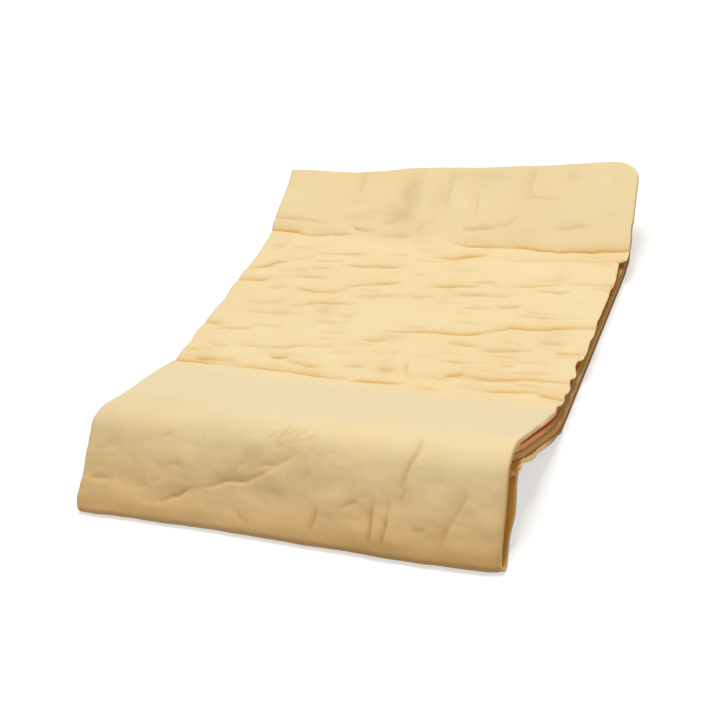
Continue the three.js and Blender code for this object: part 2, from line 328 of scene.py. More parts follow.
def wrapped_skins(station, sides, gaps, columns, limits, undercut, foot_share):
    """A half's two skins of points, their shares across from the left, and how they face.

    Each row runs from the outer ply's cut edge, round the side fold on the left, to the inner ply's.
    The facing is 1 on the outer ply and -1 on the inner one.
    """
    arm, loop, inner_arm = columns
    outer_limit, inner_limit = limits
    half_loop = PLY + gaps / 2
    left_x = LEFT + half_loop
    arm_shares = np.concatenate([EDGE_POINTS, np.linspace(ARM_START, 1, arm + 1 - len(EDGE_POINTS))])
    inner_shares = np.linspace(0, 1, inner_arm + 1)
    angles = np.linspace(0, math.pi, loop + 1)[1:-1]
    facing = np.concatenate([np.ones(arm + 1), np.cos(angles), -np.ones(inner_arm + 1)])
    skins, shares = [], []
    for skin in (0, 1):
        reach = half_loop - skin * PLY
        edge = outer_limit - skin * undercut
        x = np.concatenate([
            edge[:, None] + (left_x - edge)[:, None] * arm_shares,
            left_x[:, None] - reach[:, None] * np.sin(angles),
            left_x[:, None] + (inner_limit - left_x)[:, None] * inner_shares,
        ], axis=1)
        across = np.clip((x - LEFT) / WIDTH, 0, 1)
        shares.append(across)
        share = across[..., None]
        near = sides[0][skin][:, None] * (1 - share) + sides[1][skin][:, None] * share
        far = sides[0][3 - skin][:, None] * (1 - share) + sides[1][3 - skin][:, None] * share
        profile = (near + far) / 2 + facing[:, None] * (near - far) / 2
        drift = FLAP_DRIFT * np.maximum(0, station - 3)
        x -= np.interp(station, *LEFT_SPREAD)[:, None] * (1 - across) ** 2
        bow = np.interp(across, *FOOT_BOW) * foot_share[:, None]
        profile[..., 0] -= bow * (facing + 1) / 2
        dip = np.interp(across, *REAR_DIP) * (risen(station, *DIP_BEGINS) ** 2)[:, None]
        profile -= dip[..., None] * (math.cos(FLAP_SLOPE), math.sin(FLAP_SLOPE))
        skins.append(np.concatenate([(x - drift[:, None])[..., None], profile], -1))
    return skins, shares[0], facing


def waves(x, y, height, length, stretch, seed, count=28):
    """A smooth random field up to about a height, its waves near a length and stretched along x."""
    draw = np.random.default_rng(seed)
    total = np.zeros(np.broadcast(x, y).shape)
    for _ in range(count):
        heading, phase = draw.uniform(0, 2 * math.pi, 2)
        rate = 2 * math.pi / (length * draw.uniform(0.7, 1.6))
        total += np.cos(rate * (math.cos(heading) * x / stretch + math.sin(heading) * y) + phase)
    return height * (total / math.sqrt(count / 2) / 2)


# The creases in the top ply. Each is pressed in by a depth, rises again over a width behind it, and has
# a lip of some height before it, in mm. Then come its points: share across from the left, and station.
CREASES = (
    # rear crease
    (.7, 2, .35, (0, 3.01), (.05, 3.01), (.09, 3), (.125, 2.98), (.155, 2.98), (.195, 2.99)),
    (.3, 1.5, .2, (.19, 2.995), (.22, 2.99), (.255, 3)),
    (.55, 1.3, .3, (.25, 3.12), (.27, 3.085), (.29, 3.075), (.315, 3.085)),
    (.2, 2, .15, (.33, 3), (.38, 3.005), (.43, 3.02)),
    (.95, 2.2, .5, (.555, 2.985), (.6, 2.975), (.65, 2.98), (.7, 2.985), (.74, 2.99), (.79, 2.98),
     (.83, 2.975), (.87, 2.985), (.91, 2.99), (.95, 3), (1, 3.02)),
    (.55, 1.7, .3, (.515, 2.87), (.55, 2.875), (.575, 2.88), (.61, 2.9), (.655, 2.92)),
    (.25, 3, .15, (.67, 2.905), (.72, 2.895), (.78, 2.895), (.83, 2.905), (.88, 2.915), (.93, 2.925),
     (1, 2.94)),
    (.25, 2, .1, (.47, 2.92), (.5, 2.92), (.52, 2.94)),
    # flap
    (.3, 1.3, .45, (0, 3.195), (.05, 3.2), (.1, 3.19), (.17, 3.15)),
    (.45, 1, .3, (.57, 3.165), (.6, 3.165), (.63, 3.18), (.655, 3.18)),
    (.22, 1.2, .15, (.655, 3.2), (.68, 3.22), (.7, 3.28), (.71, 3.36)),
    (.22, 1, .15, (.79, 3.22), (.84, 3.225), (.9, 3.25)),
    (.22, 1, .2, (.72, 3.56), (.745, 3.57), (.77, 3.555), (.8, 3.56)),
    (.2, 1, .1, (.28, 3.35), (.32, 3.35)),
    (.2, 1.2, .1, (.34, 3.22), (.365, 3.2), (.38, 3.28)),
    (.2, 2, .1, (.44, 3.1), (.465, 3.2), (.5, 3.27)),
    (.16, 3, .2, (.512, 3.25), (.51, 3.5), (.512, 3.75), (.515, 4)),
    (.16, 3, .2, (.73, 3.6), (.735, 3.8), (.74, 4)),
    (.16, 3, .2, (.245, 3.6), (.25, 3.8), (.25, 4)),
    (.12, 3, .1, (.6, 3.3), (.595, 3.5), (.59, 3.7)),
    # rear half of the ramp
    (.55, 1.8, .3, (.02, 2.695), (.05, 2.71), (.075, 2.735), (.09, 2.755), (.12, 2.77)),
    (.2, 1.5, .15, (.11, 2.775), (.145, 2.785), (.165, 2.81), (.19, 2.84)),
    (.4, 1.5, .25, (.185, 2.845), (.23, 2.855), (.27, 2.86), (.33, 2.86)),
    (.38, 1.2, .2, (.195, 2.78), (.225, 2.785), (.255, 2.79), (.28, 2.8)),
    (.5, 1.6, .25, (.285, 2.76), (.315, 2.76), (.345, 2.765), (.375, 2.775), (.41, 2.78), (.45, 2.79)),
    (.6, 1.8, .3, (0, 2.59), (.045, 2.6), (.08, 2.61), (.105, 2.625)),
    (.35, 1.6, .2, (.1, 2.635), (.14, 2.65), (.17, 2.655), (.21, 2.66), (.265, 2.665)),
    (.5, 1.6, .3, (.19, 2.56), (.23, 2.56), (.25, 2.555), (.27, 2.56), (.3, 2.565), (.345, 2.59)),
    (.55, 1.8, .3, (.325, 2.61), (.36, 2.62), (.385, 2.635), (.43, 2.65), (.475, 2.67)),
    (.3, .8, .1, (.25, 2.59), (.252, 2.57), (.256, 2.545)),
    (.25, 1.5, .15, (.03, 2.885), (.05, 2.885), (.08, 2.9)),
    (.2, 1.2, .1, (.1, 2.87), (.13, 2.875), (.175, 2.87)),
    (.2, 1.5, .1, (.38, 2.56), (.42, 2.555), (.46, 2.565), (.5, 2.58)),
    (.25, 1.5, .1, (.12, 2.56), (.15, 2.56), (.17, 2.57)),
    (.5, 1.5, .3, (.555, 2.67), (.59, 2.672), (.62, 2.678), (.68, 2.685)),
    (.35, 1.5, .2, (.655, 2.71), (.685, 2.715), (.715, 2.725)),
    (.3, 2, .2, (.75, 2.705), (.79, 2.712), (.83, 2.73), (.87, 2.745)),
    (.35, 2, .2, (.9, 2.75), (.945, 2.76), (1, 2.77)),
    (.4, 1.5, .2, (.62, 2.62), (.66, 2.625), (.7, 2.63), (.75, 2.637), (.78, 2.645)),
    (.35, 1.2, .2, (.82, 2.685), (.86, 2.685), (.88, 2.68), (.905, 2.695)),
    (.45, 2, .2, (.52, 2.57), (.55, 2.575), (.58, 2.59)),
    (.35, 1.2, .2, (.67, 2.53), (.7, 2.535), (.73, 2.55)),
    (.4, 1.2, .2, (.75, 2.555), (.775, 2.56), (.81, 2.575)),
    (.2, 1.8, .1, (.49, 2.83), (.52, 2.835), (.55, 2.845)),
    # front half of the ramp
    (.45, 1.5, .25, (.26, 2.085), (.285, 2.085), (.31, 2.095)),
    (.4, 1.8, .2, (.31, 2.07), (.35, 2.065), (.37, 2.055), (.405, 2.058)),
    (.5, 1.8, .3, (.14, 2.145), (.18, 2.148), (.22, 2.142), (.255, 2.145), (.29, 2.152), (.315, 2.172),
     (.35, 2.19)),
    (.3, 1.2, .15, (.08, 2.12), (.1, 2.12), (.125, 2.125)),
    (.25, 1.2, .1, (.02, 2.075), (.05, 2.08)),
    (.35, 2, .15, (0, 2.27), (.03, 2.268), (.065, 2.265)),
    (.35, 1.4, .2, (.06, 2.225), (.08, 2.235), (.095, 2.235), (.12, 2.24), (.155, 2.255)),
    (.35, 2.2, .2, (.105, 2.365), (.15, 2.37), (.19, 2.38), (.23, 2.385)),
    (.3, 1.5, .25, (.08, 2.45), (.11, 2.44), (.145, 2.445), (.17, 2.47), (.2, 2.48)),
    (.45, 1.5, .25, (.205, 2.44), (.24, 2.447), (.265, 2.465), (.29, 2.475), (.33, 2.48), (.36, 2.485),
     (.4, 2.5)),
    (.3, 1.2, .3, (.32, 2.345), (.35, 2.345), (.38, 2.35)),
    (.4, 1.8, .15, (.465, 2.255), (.5, 2.26), (.53, 2.275)),
    (.25, 1, .1, (.4, 2.16), (.43, 2.165), (.465, 2.165)),
    (.3, 2, .1, (.46, 2.075), (.49, 2.08), (.51, 2.085)),
    (.65, 1.8, .4, (.5, 2.33), (.55, 2.33), (.6, 2.345), (.64, 2.35), (.67, 2.352), (.71, 2.355),
     (.74, 2.365), (.765, 2.385), (.785, 2.4), (.81, 2.42), (.85, 2.425), (.88, 2.437), (.91, 2.45),
     (.95, 2.46), (1, 2.475)),
    (.3, 1.6, .15, (.68, 2.288), (.72, 2.29), (.76, 2.292)),
    (.35, 1.6, .2, (.765, 2.27), (.8, 2.273), (.84, 2.285), (.88, 2.295)),
    (.3, 1.3, .15, (.9, 2.35), (.925, 2.352), (.955, 2.36)),
    (.4, 1.5, .25, (.94, 2.295), (.97, 2.3), (1, 2.31)),
    (.35, 2.2, .2, (.68, 2.17), (.71, 2.178), (.74, 2.18), (.77, 2.187), (.815, 2.195)),
    (.35, 1.2, .15, (.82, 2.185), (.84, 2.182), (.86, 2.19)),
    (.3, 1.2, .15, (.86, 2.15), (.885, 2.153), (.91, 2.16), (.96, 2.17)),
    (.5, 1.5, .2, (.715, 2.085), (.735, 2.1), (.755, 2.115)),
    (.45, 1.5, .3, (.75, 2.11), (.78, 2.105), (.82, 2.102), (.86, 2.112), (.9, 2.12), (.95, 2.12),
     (1, 2.125)),
    (.2, 2, .1, (.62, 2.065), (.66, 2.06), (.7, 2.065), (.735, 2.06)),
    (.35, 2.2, .1, (.555, 2.09), (.575, 2.08), (.59, 2.09)),
    (.3, 1.6, .1, (.63, 2.07), (.618, 2.1), (.612, 2.14)),
    # valley
    (1, 2.2, .4, (0, 1.99), (.04, 1.99), (.08, 2), (.115, 1.995), (.135, 1.99), (.16, 1.995)),
    (.6, 1.8, .2, (.1, 2.013), (.14, 2.013), (.17, 2.018), (.2, 2.02)),
    (.6, 1.5, .2, (.06, 2.025), (.1, 2.03), (.14, 2.035), (.175, 2.04)),
    (.75, 2.2, .3, (.12, 1.993), (.2, 1.999), (.26, 1.995), (.32, 1.996), (.38, 1.996), (.44, 1.988),
     (.5, 1.985)),
    (.65, 1.5, .3, (.165, 2.01), (.2, 2.007), (.24, 2.01)),
    (.6, 2, .25, (.165, 1.992), (.195, 1.985), (.225, 1.99)),
    (.65, 1.8, .3, (.25, 1.995), (.28, 1.99), (.32, 2), (.375, 2)),
    (.55, 1.4, .3, (.39, 1.99), (.42, 1.988), (.445, 1.99)),
    (.35, 1.4, .2, (.445, 1.98), (.46, 1.975), (.48, 1.985)),
    (.75, 1.6, .35, (.505, 1.98), (.53, 1.982), (.57, 1.987), (.61, 1.995), (.635, 2.005)),
    (.3, 2, .15, (.66, 1.965), (.69, 1.96), (.72, 1.97)),
    (.55, 2.2, .3, (.76, 2.025), (.79, 2.03), (.82, 2.02), (.86, 2.025), (.9, 2.033), (.94, 2.05)),
    (.45, 1.8, .3, (.94, 2.035), (.965, 2.03), (1, 2.025)),
    # drop
    (.7, 2.4, .55, (.2, .17), (.235, .195), (.25, .235), (.27, .255), (.285, .3), (.3, .35)),
    (.75, 2.4, .5, (.3, .34), (.33, .36), (.355, .38), (.38, .43), (.4, .45), (.43, .46), (.45, .5),
     (.47, .54), (.48, .58), (.5, .6)),
    (.25, 1.5, .3, (.33, .33), (.31, .34), (.29, .3)),
    (.4, 2.8, .25, (.44, .56), (.47, .62), (.5, .63), (.53, .7), (.55, .78)),
    (.25, 2, .2, (.395, .5), (.41, .58), (.42, .64)),
    (.4, .9, .35, (.495, .9), (.502, .95), (.51, 1.03)),
    (.35, .8, .35, (.51, .92), (.522, .97), (.535, 1.01)),
    (.25, .8, .25, (.53, .93), (.545, .97), (.55, 1)),
    (.25, .8, .2, (.47, .88), (.48, .92), (.49, .97)),
    (.25, .9, .2, (.56, .9), (.575, .94)),
    (.3, .9, .3, (.5, .79), (.51, .83)),
    (.2, 2.2, .15, (.515, .84), (.535, .86), (.555, .87)),
    (.45, 1.6, .2, (.025, .33), (.05, .335), (.09, .35)),
    (.25, 3, .15, (.04, .6), (.07, .62), (.11, .67)),
    (.7, 1.6, .4, (.785, .55), (.79, .62), (.795, .7), (.8, .78), (.81, .86), (.815, .98)),
    (.55, 1.4, .45, (.665, .36), (.68, .39), (.695, .41)),
    (.6, 2, .6, (.728, .08), (.732, .18), (.728, .3), (.73, .42)),
    (.6, 1.4, .5, (.757, .05), (.76, .15), (.763, .28), (.765, .44)),
    (.4, 1, .45, (.79, .44), (.792, .5), (.797, .56)),
    (.5, 2.6, .4, (.875, .05), (.88, .12), (.885, .2), (.895, .32), (.91, .42), (.925, .55)),
    (.6, 1.3, .5, (.595, .12), (.602, .2), (.605, .28)),
    (.25, 1, .2, (.205, .78), (.225, .83)),
    (.25, 1, .2, (.235, .52), (.26, .535)),
    (.25, 1.5, .2, (.15, .29), (.18, .31)),
    (.25, 1, .2, (.195, .36), (.215, .37)),
    (.25, 1, .2, (.302, .74), (.315, .82)),
    (.25, 1, .2, (.825, .25), (.845, .265)),
    (.25, 1, .2, (.57, .54), (.578, .62)),
    (.2, 1, .15, (.6, .82), (.63, .8)),
    (.25, 1.2, .25, (.42, .16), (.44, .11), (.45, .1)),
)

# In front of a crease the ply falls in over the flank, and its lip reaches on by widths of the crease.
# Further off than so many widths and mm, a crease is too faint to matter.
FRONT_FLANK = 0.6
LIP_REACH = 1.4
FAINT_REACH = (6, 3)

# A crease this deep gets the full painted shade. The painted shade is a halo of so many widths, which
# ends by a power, and a narrow core, each of the same strength.
SHADE_MARK_DEPTH = 0.65
SHADE_MARK_STRENGTH = 0.6
HALO_WIDTHS = 1.2
HALO_POWER = 1.5
CORE_WIDTH = 0.9

# Creases wander off their points and are uneven, by waves of a height, length, stretch and seed. Their
# strength stays between two limits, and fades over a share of their length at ends inside the cloth,
# from a little beyond the end.
LINE_SHIFT = 0.5
LINE_WANDER = (0.3, 14.0, 1.6, 31)
LINE_SHAKE = (0.12, 5.0, 1.5, 32)
MEAN_STRENGTH = 0.9
STRENGTH_WAVES = (0.4, 14.0, 1.8, 33)
STRENGTH_LIMITS = (0.35, 1.4)
END_FADE = 0.3
BEYOND_END = 0.5


def short_wrinkles(count=110):
    """Short shallow creases scattered over the ramp, nearly along it, in the form of CREASES."""
    draw = np.random.default_rng(41)
    found = []
    for _ in range(count):
        across, station = draw.uniform(0.01, 0.95), draw.uniform(1.97, 3.0)
        long, tilt = draw.uniform(0.025, 0.09), draw.uniform(-0.01, 0.03)
        points = [
            (across + long * share, station + tilt * share + draw.uniform(-0.006, 0.006))
            for share in (0, .3, .65, 1)
        ]
        depth, wide, lip = draw.uniform(0.07, 0.2), draw.uniform(0.8, 1.7), draw.uniform(0.04, 0.14)
        found.append((depth, wide, lip, *points))
    return found


def nearest_on_line(x, y, line_x, line_y):
    """How far points lie from a line, at what length along it, whether behind it, and its length."""
    best, along, behind = np.full(x.shape, 1e9), np.zeros(x.shape), np.ones(x.shape, bool)
    spans = np.hypot(np.diff(line_x), np.diff(line_y))
    starts = np.concatenate([[0], spans.cumsum()])
    for x0, y0, x1, y1, start, span in zip(line_x, line_y, line_x[1:], line_y[1:], starts, spans):
        dx, dy = x1 - x0, y1 - y0
        share = np.clip(((x - x0) * dx + (y - y0) * dy) / (dx * dx + dy * dy), 0, 1)
        off_x, off_y = x - x0 - share * dx, y - y0 - share * dy
        far = np.hypot(off_x, off_y)
        closer = far < best
        best[closer] = far[closer]
        along[closer] = (start + share * span)[closer]
        behind[closer] = (dx * off_y - dy * off_x > 0)[closer]
    return best, along, behind, starts[-1]


def crease_field(shares, length):
    """How far the top ply is pressed in, in millimetres, and how much painted shade the creases give each
    place.
    """
    x = shares * WIDTH
    y = length - LINE_SHIFT + waves(x, length, *LINE_WANDER) + waves(x, length, *LINE_SHAKE)
    uneven = np.clip(MEAN_STRENGTH + waves(x, length, *STRENGTH_WAVES), *STRENGTH_LIMITS)
    pressed, crease_shade = np.zeros(x.shape), np.zeros(x.shape)
    for depth, wide, lip, *points in (*CREASES, *short_wrinkles()):
        across, stations = np.transpose(points)
        line_x, line_y = across * WIDTH, walked_to(stations)
        reach = FAINT_REACH[0] * wide + FAINT_REACH[1]
        near = (x > line_x.min() - reach) & (x < line_x.max() + reach)
        near &= (y > line_y.min() - reach) & (y < line_y.max() + reach)
        if not near.any():
            continue
        best, along, behind, total = nearest_on_line(x[near], y[near], line_x, line_y)
        taper = np.ones(best.shape)
        if across[0] > 0:
            taper *= risen(along, -BEYOND_END, END_FADE * total)
        if across[-1] < 1:
            taper *= risen(total - along, -BEYOND_END, END_FADE * total)
        strength = uneven[near] * np.sqrt(taper)
        front = np.exp(-best / FRONT_FLANK)
        raised = lip * (np.exp(-best / (LIP_REACH * wide)) - front)
        pressed[near] += strength * np.where(behind, depth * np.exp(-best / wide), depth * front - raised)
        halo = np.where(behind, (best / (HALO_WIDTHS * wide)) ** HALO_POWER, (best / FRONT_FLANK) ** 2)
        core = np.where(behind, best / CORE_WIDTH, 2 * best / CORE_WIDTH) ** 2
        line = SHADE_MARK_STRENGTH * np.exp(-halo) + SHADE_MARK_STRENGTH * np.exp(-core)
        crease_shade[near] = np.maximum(crease_shade[near], line * np.minimum(1, strength * depth / SHADE_MARK_DEPTH))
    return pressed, crease_shade


# Faint smudges on the top ply, and on the drop and by the ridge patches of painted shade: share
# across, station, how wide and how long in mm, and how strong
SMUDGES_AND_SHADE = (
    (.4, 3.6, 3.2, 8, 1), (.385, 3.35, 4.5, 4, 1), (.36, 3.22, 2.5, 1.5, .5), (.32, 2.43, 3, 4, .5),
    (.535, 2.3, 3.5, 1.6, .6), (.565, 2.1, 2.5, 2.2, .5), (.915, 2.38, 3, 3.5, .5),
    (.395, 2.36, 1.6, 5, .35), (.865, 2.79, 2.5, 3, .45), (.61, 2.6, 1.6, 5, .3),
    (.26, 3.28, 5, 1.5, .4), (.07, .68, 5, 4, .5), (.5, .78, 6, 3.5, .5), (.45, 3.05, 1.5, 4, .35),
    (.84, 3.85, 2, 2.5, .35), (.57, .78, 5, 4, .9), (.08, 1.08, 22, 7, .45), (.31, 1.0, 20, 5, .4),
    (.36, 3.03, 10, 2, .5), (.51, .86, 5, 2.5, 1), (.44, .74, 4, 3, .9), (.37, .73, 5, 4, .45),
    (.15, .76, 5, 3, .3), (.48, 3.6, 3, 6, .4), (.6, 3.88, 10, 3, .4),
)


def smudge_and_shade_field(shares, length):
    total = np.zeros(shares.shape)
    for across, station, wide, long, strength in SMUDGES_AND_SHADE:
        away = ((shares - across) * WIDTH / wide) ** 2 + ((length - walked_to(station)) / long) ** 2
        total = np.maximum(total, strength * np.exp(-away / 2))
    return total


# Cut edges stand out a little in the middle of their thickness
EDGE_ROUNDING = 0.35
SHARP_ANGLE = math.radians(48)


def closed_sheet(name, outer, inner, uvs, fields, flip, step=3):
    """A closed mesh of a sheet from its two skins' points. The inner skin is made step times coarser."""
    ids = np.arange(outer[..., 0].size).reshape(outer.shape[:2])
    coarse = inner[::step, ::step]
    coarse_ids = ids.size + np.arange(coarse[..., 0].size).reshape(coarse.shape[:2])

    def ring(grid):
        return np.concatenate([grid[0, :-1], grid[:-1, -1], grid[-1, :0:-1], grid[:0:-1, 0]])

    def quads(grid):
        return np.stack([grid[:-1, :-1], grid[1:, :-1], grid[1:, 1:], grid[:-1, 1:]], -1).reshape(-1, 4)

    outwards = np.concatenate([
        (outer[0] - outer[1])[:-1], (outer[:, -1] - outer[:, -2])[:-1],
        (outer[-1] - outer[-2])[:0:-1], (outer[:, 0] - outer[:, 1])[:0:-1],
    ])
    outwards /= np.maximum(np.linalg.norm(outwards, axis=-1, keepdims=True), 1e-9)
    middle = (ring(outer) + ring(inner)) / 2 + EDGE_ROUNDING * outwards
    middle[:, 2] = np.maximum(middle[:, 2], 0)
    points = np.concatenate([outer.reshape(-1, 3), coarse.reshape(-1, 3), middle])

    rim, coarse_rim = ring(ids), ring(coarse_ids)
    middle_ids = ids.size + coarse_ids.size + np.arange(len(rim))
    middle_after = np.roll(middle_ids, -1)
    wall = np.stack([rim, np.roll(rim, -1), middle_after, middle_ids], -1)
    fan = np.stack([middle_ids, middle_after, np.repeat(coarse_rim, step)], -1)
    closing = np.stack([middle_after[step - 1::step], np.roll(coarse_rim, -1), coarse_rim], -1)
    fours = np.concatenate([quads(ids), quads(coarse_ids)[:, ::-1], wall])
    threes = np.concatenate([fan, closing])
    if flip:
        fours, threes = fours[:, ::-1], threes[:, ::-1]
    mesh = bpy.data.meshes.new(name)
    mesh.from_pydata((points + CENTRE_SHIFT) * MILLIMETRE, [], fours.tolist() + threes.tolist())
    uv_points = np.concatenate([uvs.reshape(-1, 2), uvs[::step, ::step].reshape(-1, 2), ring(uvs)])
    corner_points = np.zeros(len(mesh.loops), np.int32)
    mesh.loops.foreach_get("vertex_index", corner_points)
    layer = mesh.uv_layers.new(name="cloth")
    layer.data.foreach_set("uv", (uv_points[corner_points] * MILLIMETRE).astype(np.float32).ravel())
    for key, values in fields.items():
        face, back, edge = (np.broadcast_to(part, ids.shape) for part in values)
        flat = np.concatenate([face.ravel(), back[::step, ::step].ravel(), ring(edge)])
        mesh.attributes.new(key, "FLOAT", "POINT").data.foreach_set("value", flat.astype(np.float32))
    slots = np.zeros(len(mesh.polygons), np.int32)
    slots[len(fours) - len(wall):] = 1
    mesh.polygons.foreach_set("material_index", slots)
    mesh.shade_smooth()
    mesh.set_sharp_from_angle(angle=SHARP_ANGLE)
    mesh.update()
    cloth = bpy.data.objects.new(name, mesh)
    bpy.context.scene.collection.objects.link(cloth)
    return cloth


# The form of the outer ply fades out round the side fold, between these facings either way
FORM_FADE = 0.6

# The UV map lays a half flat, in mm, its plies on both sides of a strip of two margins
UV_MARGIN = 2.0


def outer_share(facing):
    """1 on the outer ply, fading to 0 round the side fold."""
    return risen(facing, -FORM_FADE, 2 * FORM_FADE)


def above_table(points):
    points[..., 2] = np.maximum(points[..., 2], 0)
    return points


def pressed_in(outer, push):
    """The outer skin pushed in by so many mm, but not through the table."""
    normal = np.cross(np.gradient(outer, axis=0), np.gradient(outer, axis=1))
    normal /= np.maximum(np.linalg.norm(normal, axis=-1, keepdims=True), 1e-9)
    return above_table(outer - normal * push[..., None])


def laid_flat(facing, x, along):
    return np.stack([facing * (x + UV_MARGIN), along], -1)


# Where the finish changes, as stations and strengths. Between a half's plies the cloth gets painted
# warm bounce light within the light's reach of the right edge, and between the halves a share of that.
# The cut edge is darker where it lies deep.
LIGHT_REACH = 8.0
BETWEEN_HALVES = 0.5
# The shelf gets painted cooler light, as stations and strengths
SHELF_COOL_LIGHT = ((1.0, 1.25, 1.8, 1.98), (0, 1, 1, 0))
DROP_CREASE_SHADE = ((0.9, 1.1), (0.6, 1))
RAMP_EDGE_SHADE = ((1.6, 1.95, 3.15, 3.45), (0, 1, 1, 0.4))
INNER_EDGE_SHADE = ((0.9, 1.1, 1.6, 1.9), (0.5, 0.3, 0.3, 0))
FRONT_EDGE_SHADE = 0.55

# The cut edge on the right starts at this share across. The other edges have shares of its painted
# bounce light and shade.
CUT_EDGE_START = 0.95
BOUNCE_ELSEWHERE = 0.3
SHADE_ELSEWHERE = 0.25

# Painted shade deepens the cloth to tan down the drop, by a power. On the left it starts higher, and is
# weaker at the foot.
# Each of these ends at a share across, or a station, and fades over a span before that.
DROP_SHADE_POWER = 1.3
LEFT_START = 0.12
START_ENDS = (0.65, 0.65)
LEFT_WEAKER = 0.18
WEAKER_ENDS_ACROSS = (0.7, 0.3)
WEAKER_ENDS_UP = (0.5, 0.3)


def edge_shade(station, turned, front_end):
    """How dark a cut edge is. The shade of its front part ends between two stations."""
    shade = np.interp(station, *RAMP_EDGE_SHADE) + turned * np.interp(station, *INNER_EDGE_SHADE)
    front = FRONT_EDGE_SHADE * (1 - turned) * np.interp(station, front_end, (1, 0))
    return np.maximum(shade, front)


def finish_fields(shares, station, turned, shade, crease_shade, smudge_and_shade, red):
    """What the finish reads: the values of each field on the outer skin, the inner skin and the rim."""
    lit = swell((1 - shares) * WIDTH, 0, LIGHT_REACH)
    at_cut = shares > CUT_EDGE_START
    edge_bounce_share = turned * np.where(at_cut, 1, BOUNCE_ELSEWHERE)
    shade = np.where(at_cut, shade, SHADE_ELSEWHERE * shade)
    start = 1 + LEFT_START * fallen(shares, *START_ENDS)
    drop_shading = fallen(station, start, 1) ** DROP_SHADE_POWER
    drop_shading *= 1 - LEFT_WEAKER * fallen(shares, *WEAKER_ENDS_ACROSS) * fallen(station, *WEAKER_ENDS_UP)
    return {
        "crease_shading": (crease_shade * np.interp(station, *DROP_CREASE_SHADE), 0.0, 0.0),
        "smudge_and_shade": (smudge_and_shade, 0.0, 0.0),
        "inside_red_bounce": (0.0, lit * red, 0.0),
        "wrinkled": (ramp_share(station), 0.0, 0.0),
        "inside_bounce": (BETWEEN_HALVES * turned * lit, lit, 0.0),
        "edge_bounce": (edge_bounce_share, edge_bounce_share, edge_bounce_share),
        "drop_shade": (drop_shading, 0.0, 0.0),
        "shelf_cool_light": (np.interp(station, *SHELF_COOL_LIGHT), 0.0, 0.0),
        "shaded_edge": (shade, shade, shade),
    }


# The soft form of the top ply, in mm, by waves of a height, length, stretch and seed: swells all over,
# ripples on the ramp, and on the drop pillows, a belly, and a roll above the foot. Places are a
# station and a reach, and the pillows start at a station, over a span, and end at another. The belly
# fades out over a share across on the left, and one on the right.
BROAD_SWELLS = (0.22, 26.0, 1.3, 21)
SMALL_SWELLS = (0.07, 8.0, 1.5, 22)
RAMP_RIPPLES = (0.3, 11.0, 3.0, 23)
PILLOWS = (0.34, 12.0, 1.2, 24)
DIMPLES = (0.1, 5.0, 1.2, 25)
FOOT_WAVER = (0.2, 22.0, 1.0, 26)
PILLOW_START = (0.04, 0.3)
PILLOW_END = 1.2
BELLY = 0.8
BELLY_PLACE = (0.64, 0.16)
BELLY_SIDES = (0.15, 0.1)
FOOT_ROLL = 0.3
FOOT_ROLL_PLACE = (0.15, 0.08)

# The torn edge rolls down by a depth over a width, and on the drop by more of both. There the edge
# also gets painted shade, like a crease.
DROP_END = 1.1
EDGE_ROLL = 0.6
EDGE_ROLL_WIDTH = 0.6
DROP_ROLL = 0.5
DROP_ROLL_WIDTH = 0.7
DROP_EDGE_SHADE = 0.9
DROP_EDGE_SHADE_WIDTH = 1.4

# Creases show a little on the inner ply. Round the side fold the form is weaker, and stands out by no
# more than the rise, so that the plies keep apart.
INNER_PRINT = 0.2
LOOP_FORM = 0.5
LOOP_RISE = 0.1

# Where the shade of this half's edges ends in front, and how red the painted bounce light is between its
# plies
UPPER_FRONT_END = (1.5, 1.6)
RED_BOUNCE_SHELF = ((0.95, 1.1, 2.15, 2.5), (0, 1, 1, 0.15))

# Columns in the outer ply, round the loop and in the inner ply. Their sum and that of the rows are
# multiples of closed_sheet's step.
UPPER_COLUMNS = (240, 9, 18)


